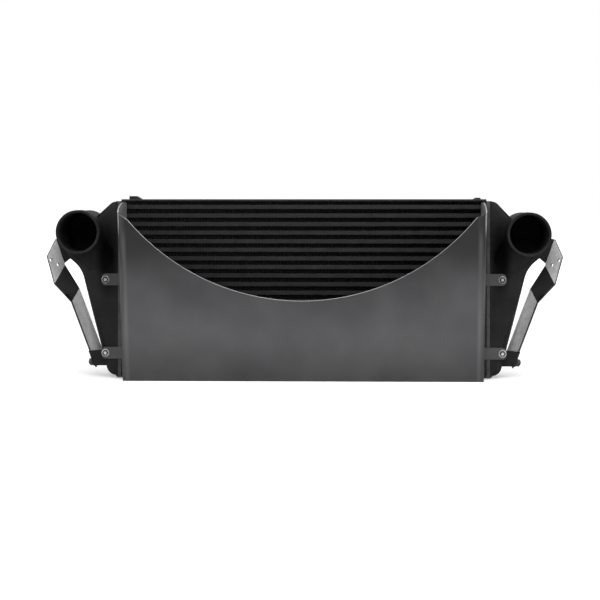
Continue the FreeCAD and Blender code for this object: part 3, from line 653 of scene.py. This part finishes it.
def with_painted_light_and_shade(material, colour):
    # Lays the given colour of painted light and shade on the faces marked in a piece's mesh.
    mask = material.node_tree.nodes.new("ShaderNodeGroup")
    mask.node_tree = PAINTED_LIGHT_AND_SHADE_FACES
    tinted(material, mask.outputs["Mask"], colour)


def with_waves(material, size, height):
    # Slow waviness of rolled sheet under the coat's own grain.
    nodes, links = material.node_tree.nodes, material.node_tree.links
    surface = nodes["Principled BSDF"]
    place = nodes.new("ShaderNodeTexCoord")
    swell = nodes.new("ShaderNodeTexNoise")
    swell.inputs["Scale"].default_value = size
    swell.inputs["Detail"].default_value = 1.0
    links.new(place.outputs["Object"], swell.inputs["Vector"])
    bump = nodes.new("ShaderNodeBump")
    bump.inputs["Distance"].default_value = height
    links.new(swell.outputs["Fac"], bump.inputs["Height"])
    links.new(surface.inputs["Normal"].links[0].from_socket, bump.inputs["Normal"])
    links.new(bump.outputs["Normal"], surface.inputs["Normal"])


def with_painted_light_bands(material, place_x, half_width, top, colour):
    # Painted light: a lighter upright band each side, beside the bends, fading out below the corners.
    nodes, links = material.node_tree.nodes, material.node_tree.links
    place = nodes.new("ShaderNodeTexCoord")
    sideways = nodes.new("ShaderNodeSeparateXYZ")
    links.new(place.outputs["Object"], sideways.inputs["Vector"])
    from_middle = nodes.new("ShaderNodeMath")
    from_middle.operation = "ABSOLUTE"
    links.new(sideways.outputs["X"], from_middle.inputs[0])
    off_band = nodes.new("ShaderNodeMath")
    off_band.operation = "SUBTRACT"
    off_band.inputs[1].default_value = place_x
    links.new(from_middle.outputs["Value"], off_band.inputs[0])
    distance = nodes.new("ShaderNodeMath")
    distance.operation = "ABSOLUTE"
    links.new(off_band.outputs["Value"], distance.inputs[0])
    share = nodes.new("ShaderNodeMapRange")
    share.interpolation_type = "SMOOTHSTEP"
    share.inputs["From Max"].default_value = half_width
    share.inputs["To Min"].default_value = 1.0
    share.inputs["To Max"].default_value = 0.0
    links.new(distance.outputs["Value"], share.inputs["Value"])
    below = nodes.new("ShaderNodeMapRange")
    below.interpolation_type = "SMOOTHSTEP"
    below.inputs["From Min"].default_value = top[0]
    below.inputs["From Max"].default_value = top[1]
    below.inputs["To Min"].default_value = 1.0
    below.inputs["To Max"].default_value = 0.0
    links.new(sideways.outputs["Z"], below.inputs["Value"])
    strength = nodes.new("ShaderNodeMath")
    strength.operation = "MULTIPLY"
    links.new(share.outputs["Result"], strength.inputs[0])
    links.new(below.outputs["Result"], strength.inputs[1])
    tinted(material, strength.outputs["Value"], colour)


scoop_coat = coated("scoop_coat", SCOOP_GREY, SCOOP_GREY_LIGHT, gloss=(0.34, 0.44), mottle_size=12,
                    grain_size=420, grain_height=0.8, shine=0.5, metal=SCOOP_METAL)
# Painted shade darkens the upper corners.
with_spots(scoop_coat, CORNER_SHADE_SPOT, CORNER_SHADE_REACH, CORNER_PAINTED_SHADE)
# Painted light in upright bands beside the bends.
with_painted_light_bands(scoop_coat, BAND_X, BAND_HALF_WIDTH, BAND_TOP, BAND_PAINTED_LIGHT)
# Painted highlight on the bends near the top.
with_spots(scoop_coat, BEND_HIGHLIGHT_SPOT, BEND_HIGHLIGHT_REACH, BEND_PAINTED_HIGHLIGHT)
# Painted highlight on the marked cut edges, and painted light on the flanges' inner faces.
with_painted_light_and_shade(scoop_coat, SCOOP_PAINTED_HIGHLIGHT)
with_waves(scoop_coat, WAVE_SIZE, WAVE_HEIGHT)
scoop_shape = node_shape("scoop")
painted_light_layer = scoop_shape.faces.layers.float.new("painted_light_and_shade")
for step in range(1, FLANGE_ROUND_STEPS):
    turn = math.radians(90 * step / FLANGE_ROUND_STEPS)
    place = (0, FLANGE_ROUND_MIDDLE[0] - FLANGE_ROUND_SIZE[0] * math.cos(turn),
             FLANGE_ROUND_MIDDLE[1] + FLANGE_ROUND_SIZE[1] * math.sin(turn))
    outwards = (0, -math.cos(turn) / FLANGE_ROUND_SIZE[0], math.sin(turn) / FLANGE_ROUND_SIZE[1])
    cut = bmesh.ops.bisect_plane(scoop_shape, geom=scoop_shape.verts[:] + scoop_shape.edges[:]
                                 + scoop_shape.faces[:], plane_co=place, plane_no=outwards,
                                 clear_outer=True)["geom_cut"]
    bmesh.ops.holes_fill(scoop_shape, edges=[item for item in cut
                                             if isinstance(item, bmesh.types.BMEdge)])
# The crescent's cut edge and the flanges' top edges are rounded and get the painted highlight.
for of_flange, width in ((False, CRESCENT_ROUND), (True, SHEET_EDGE_ROUND)):
    cut_edges = []
    for edge in scoop_shape.edges:
        if len(edge.link_faces) == 2 and edge.calc_face_angle() > SHARP_ANGLE:
            middle = (edge.verts[0].co + edge.verts[1].co) / 2
            outermost = min(face.normal.y for face in edge.link_faces) < -FACES_FRONT
            on_flange = abs(middle.x) > CRESCENT_REACH and middle.z > FLANGE_LOW
            on_crescent = outermost and abs(middle.x) < CRESCENT_REACH and middle.z > CRESCENT_LOW
            if middle.y < FRONT_PART_Y and (on_flange if of_flange else on_crescent):
                cut_edges.append(edge)
    rounded = bmesh.ops.bevel(scoop_shape, geom=cut_edges, offset=width, segments=3, profile=0.5,
                              affect="EDGES", material=-1, clamp_overlap=of_flange)
    for face in rounded["faces"]:
        face[painted_light_layer] = 1.0
# Small upward faces of the cut get the painted highlight, the flanges' inner faces painted light.
for face in scoop_shape.faces:
    middle = face.calc_center_median()
    small = face.calc_area() < CUT_FACE_AREA
    if middle.y < FRONT_PART_Y and middle.z > CRESCENT_LOW and small:
        upwards = face.normal.z > FACES_UP or middle.z > CRESCENT_TOP
        if upwards and abs(face.normal.y) < FACES_FRONT and abs(face.normal.x) < FACES_SIDE:
            face[painted_light_layer] = 1.0
    if abs(face.normal.x) > FACES_SIDE and face.normal.x * middle.x < 0:
        face[painted_light_layer] = INSIDE_PAINTED_LIGHT
finished_piece(scoop_shape, "scoop_coated", ["scoop"], scoop_coat)


# The brackets: steel plate cut on a laser and folded twice, brushed bright on the upper panel and the
# strap. The middle panel and the cut edges are coloured black as a painted reflection of the dark
# tank and room, and the strap's painted reflection darkens towards its outer side.
BRACKET_BRIGHT = (0.88, 0.88, 0.89, 1)
BRACKET_DULL = (0.50, 0.50, 0.51, 1)
BRUSHED_ALONG = (1, 1, 0.04)
BRUSH_SHARE = 0.6
BRACKET_PAINTED_DARK_REFLECTION = (0.026, 0.026, 0.026, 1)
ACROSS_STRAP = (0.5468, -0.8113, -0.2072)
STRAP_INNER = 0.1613
STRAP_WIDTH = 0.0307
STRAP_TOP = 0.155
STRAP_SHADE = 0.68
DARK_BORDER = 0.0017
BORDER_FADED = 0.7
BORDER_SHADE = 0.1
BRACKET_METAL = 0.25
BRACKET_ROUND = 0.0004
BRACKET_SHARP = math.radians(12)
PANEL_NORMALS = ((0.774, 0.572, -0.273), (0.527, 0.690, -0.496), (0.759, 0.584, -0.287))
LIES_IN_PANEL = 0.995
ALONG_PLATE = 0.9


def with_shaded_strap(material):
    # Painted reflection, darker across the strap to its outer side and ending in a painted dark border.
    nodes, links = material.node_tree.nodes, material.node_tree.links
    surface = nodes["Principled BSDF"]
    plate_colour = surface.inputs["Base Color"].links[0].from_socket
    place = nodes.new("ShaderNodeTexCoord")
    both_sides = nodes.new("ShaderNodeVectorMath")
    both_sides.operation = "ABSOLUTE"
    links.new(place.outputs["Object"], both_sides.inputs[0])
    across = nodes.new("ShaderNodeVectorMath")
    across.operation = "DOT_PRODUCT"
    across.inputs[1].default_value = ACROSS_STRAP
    links.new(both_sides.outputs["Vector"], across.inputs[0])
    painted_reflection_falloff = nodes.new("ShaderNodeMapRange")
    painted_reflection_falloff.inputs["From Min"].default_value = STRAP_INNER
    painted_reflection_falloff.inputs["From Max"].default_value = STRAP_INNER + STRAP_WIDTH
    painted_reflection_falloff.inputs["To Min"].default_value = 1.0
    painted_reflection_falloff.inputs["To Max"].default_value = STRAP_SHADE
    links.new(across.outputs["Value"], painted_reflection_falloff.inputs["Value"])
    border = nodes.new("ShaderNodeMapRange")
    border.inputs["From Min"].default_value = STRAP_INNER + STRAP_WIDTH - DARK_BORDER
    border.inputs["From Max"].default_value = STRAP_INNER + STRAP_WIDTH - DARK_BORDER * BORDER_FADED
    border.inputs["To Min"].default_value = 1.0
    border.inputs["To Max"].default_value = BORDER_SHADE
    links.new(across.outputs["Value"], border.inputs["Value"])
    both = nodes.new("ShaderNodeMath")
    both.operation = "MULTIPLY"
    links.new(painted_reflection_falloff.outputs["Result"], both.inputs[0])
    links.new(border.outputs["Result"], both.inputs[1])
    height = nodes.new("ShaderNodeSeparateXYZ")
    links.new(place.outputs["Object"], height.inputs["Vector"])
    above = nodes.new("ShaderNodeMath")
    above.operation = "GREATER_THAN"
    above.inputs[1].default_value = STRAP_TOP
    links.new(height.outputs["Z"], above.inputs[0])
    kept = nodes.new("ShaderNodeMath")
    kept.operation = "MAXIMUM"
    links.new(both.outputs["Value"], kept.inputs[0])
    links.new(above.outputs["Value"], kept.inputs[1])
    shaded = nodes.new("ShaderNodeMix")
    shaded.data_type = "RGBA"
    shaded.inputs["A"].default_value = (0, 0, 0, 1)
    links.new(kept.outputs["Value"], shaded.inputs["Factor"])
    links.new(plate_colour, shaded.inputs["B"])
    links.new(shaded.outputs["Result"], surface.inputs["Base Color"])


bracket_metal = coated("bracket_metal", BRACKET_DULL, BRACKET_BRIGHT, gloss=(0.28, 0.44),
                       mottle_size=90, grain_size=900, grain_height=0.5, shine=0.5,
                       metal=BRACKET_METAL, stretch=BRUSHED_ALONG, grain_share=BRUSH_SHARE)
# Painted dark reflection on the middle panel and the cut edges.
with_painted_light_and_shade(bracket_metal, BRACKET_PAINTED_DARK_REFLECTION)
# Painted reflection across the strap.
with_shaded_strap(bracket_metal)
for side, node in ((-1, "bracket_left"), (1, "bracket_right")):
    bracket_shape = node_shape(node)
    painted_dark_layer = bracket_shape.faces.layers.float.new("painted_light_and_shade")
    # The middle panel and the edge faces are marked for the painted dark reflection.
    for face in bracket_shape.faces:
        likeness = [abs(face.normal.dot((side * x, y, z))) for x, y, z in PANEL_NORMALS]
        on_middle = likeness[1] > LIES_IN_PANEL
        on_edge = max(likeness) < ALONG_PLATE
        face[painted_dark_layer] = 1.0 if on_middle or on_edge else 0.0
    finished_piece(bracket_shape, node + "_brushed", [node], bracket_metal,
                   BRACKET_ROUND, sharp=BRACKET_SHARP)


# The fasteners: zinc plated hexagon screws with captive washers hold the scoop, and a flanged bolt in
# dark steel, with a black rubber bush, holds each bracket's foot. The heads are forged, with a dished
# top, and painted shade darkens the screws' heads outside the dish.
ZINC_BRIGHT = (0.72, 0.72, 0.70, 1)
ZINC_DULL = (0.52, 0.52, 0.51, 1)
ZINC_PAINTED_SHADE = (0.050, 0.050, 0.048, 1)
BOLT_DARK = (0.016, 0.016, 0.016, 1)
BOLT_DARK_WORN = (0.060, 0.060, 0.060, 1)
RUBBER_BLACK = (0.010, 0.010, 0.010, 1)
RUBBER_GREY = (0.020, 0.020, 0.020, 1)
HEAD_POINTS = 36
CROWN_SHARE = 0.94
CHAMFER_SLOPE = math.tan(math.radians(30))
DISH_SHARE = 0.62
DISH_FLOOR_SHARE = 0.50
DISH_DEPTH = 0.0007
RIM_BREAK = 0.0003
TIP_SHARE = 0.8
BUSH_ROUND = 0.0008

zinc = coated("zinc_plate", ZINC_DULL, ZINC_BRIGHT, gloss=(0.22, 0.36), mottle_size=300,
              grain_size=2500, grain_height=0.4, shine=0.5, metal=0.85)
# Painted shade on the screws' heads outside the dish.
with_painted_light_and_shade(zinc, ZINC_PAINTED_SHADE)
dark_steel = coated("bolt_dark", BOLT_DARK, BOLT_DARK_WORN, gloss=(0.20, 0.34), mottle_size=300,
                    grain_size=2500, grain_height=0.4, shine=0.7, metal=0.4)
rubber = coated("bush_rubber", RUBBER_BLACK, RUBBER_GREY, gloss=(0.6, 0.8), mottle_size=200,
                grain_size=1800, grain_height=0.6, shine=0.3)


def raised(shape, ring, scale, height):
    # Draws the ring's edges up to a new ring of the given size and height.
    drawn = bmesh.ops.extrude_edge_only(shape, edges=ring)
    verts = [item for item in drawn["geom"] if isinstance(item, bmesh.types.BMVert)]
    for vert in verts:
        flat = Vector((vert.co.x, vert.co.y, 0))
        size = scale(flat)
        vert.co = flat.normalized() * size
        vert.co.z = height(size)
    members = set(verts)
    return [item for item in drawn["geom"] if isinstance(item, bmesh.types.BMEdge)
            and item.verts[0] in members and item.verts[1] in members]


def bolt(shape, seat, outward, collar, collar_thick, across, head_tall, shank, shank_long):
    # Washer or flange on the seat, hexagon head with a chamfered crown and a dish, and the shank.
    half = across / 2
    crown = half * CROWN_SHARE
    top = collar_thick + head_tall

    def hexagon(flat):
        turn = math.atan2(flat.y, flat.x) % math.radians(60)
        return half / math.cos(turn - math.radians(30))

    one = bmesh.new()
    bmesh.ops.create_circle(one, cap_ends=True, segments=HEAD_POINTS, radius=collar / 2 - RIM_BREAK)
    rim = raised(one, one.edges[:], lambda flat: collar / 2, lambda size: RIM_BREAK)
    rim = raised(one, rim, lambda flat: collar / 2, lambda size: collar_thick - RIM_BREAK)
    rim = raised(one, rim, lambda flat: collar / 2 - RIM_BREAK, lambda size: collar_thick)
    rim = raised(one, rim, hexagon, lambda size: collar_thick)
    rim = raised(one, rim, hexagon, lambda size: top - (size - crown) * CHAMFER_SLOPE)
    rim = raised(one, rim, lambda flat: crown, lambda size: top)
    rim = raised(one, rim, lambda flat: crown * DISH_SHARE, lambda size: top)
    rim = raised(one, rim, lambda flat: crown * DISH_FLOOR_SHARE, lambda size: top - DISH_DEPTH)
    bmesh.ops.contextual_create(one, geom=rim)
    # The head's sides, chamfer and crown outside the dish are marked for painted shade.
    painted_shade_layer = one.faces.layers.float.new("painted_light_and_shade")
    for face in one.faces:
        middle = face.calc_center_median()
        in_dish = math.hypot(middle.x, middle.y) < crown * DISH_SHARE
        face[painted_shade_layer] = 1.0 if middle.z > collar_thick + RIM_BREAK and not in_dish else 0.0
    stem = bmesh.ops.create_cone(one, cap_ends=True, segments=HEAD_POINTS, radius1=shank / 2 * TIP_SHARE,
                                 radius2=shank / 2, depth=shank_long)["verts"]
    bmesh.ops.translate(one, verts=stem, vec=(0, 0, -shank_long / 2))
    bmesh.ops.recalc_face_normals(one, faces=one.faces)
    turn = outward.to_track_quat("Z", "Y").to_matrix().to_4x4()
    bmesh.ops.transform(one, matrix=Matrix.Translation(seat) @ turn, verts=one.verts)
    mesh = bpy.data.meshes.new("one_bolt")
    one.to_mesh(mesh)
    one.free()
    shape.from_mesh(mesh)
    bpy.data.meshes.remove(mesh)


SCREW_SPOTS = ((0.3652, 0.0476), (0.3652, 0.1828), (-0.3652, 0.0476), (-0.3652, 0.1828))
SCREW_SEAT_Y = -0.002
screw_shape = bmesh.new()
screw_shape.faces.layers.float.new("painted_light_and_shade")
for x, z in SCREW_SPOTS:
    bolt(screw_shape, Vector((x, SCREW_SEAT_Y, z)), Vector((0, -1, 0)), collar=0.0142,
         collar_thick=0.0012, across=0.010, head_tall=0.0045, shank=0.006, shank_long=0.0105)
finished_piece(screw_shape, "scoop_screws_plated", ["scoop_screws"], zinc)

BOLT_SEAT = Vector((0.38165, 0.029, 0.0325))
BOLT_OUTWARD = Vector((0.7592, 0.5840, -0.2874)).normalized()
BOLT_LIFT = 0.013
bolt_shape = bmesh.new()
for side in (-1, 1):
    mirror = Matrix.Diagonal((side, 1, 1))
    bolt(bolt_shape, mirror @ (BOLT_SEAT + BOLT_OUTWARD * BOLT_LIFT), mirror @ BOLT_OUTWARD,
         collar=0.017, collar_thick=0.0016, across=0.013, head_tall=0.008, shank=0.008,
         shank_long=0.0265)
finished_piece(bolt_shape, "bracket_bolts_darkened", ["bracket_bolts"], dark_steel)
finished_copy("bracket_bushes", "bracket_bushes_moulded", rubber, BUSH_ROUND,
              segments=3)
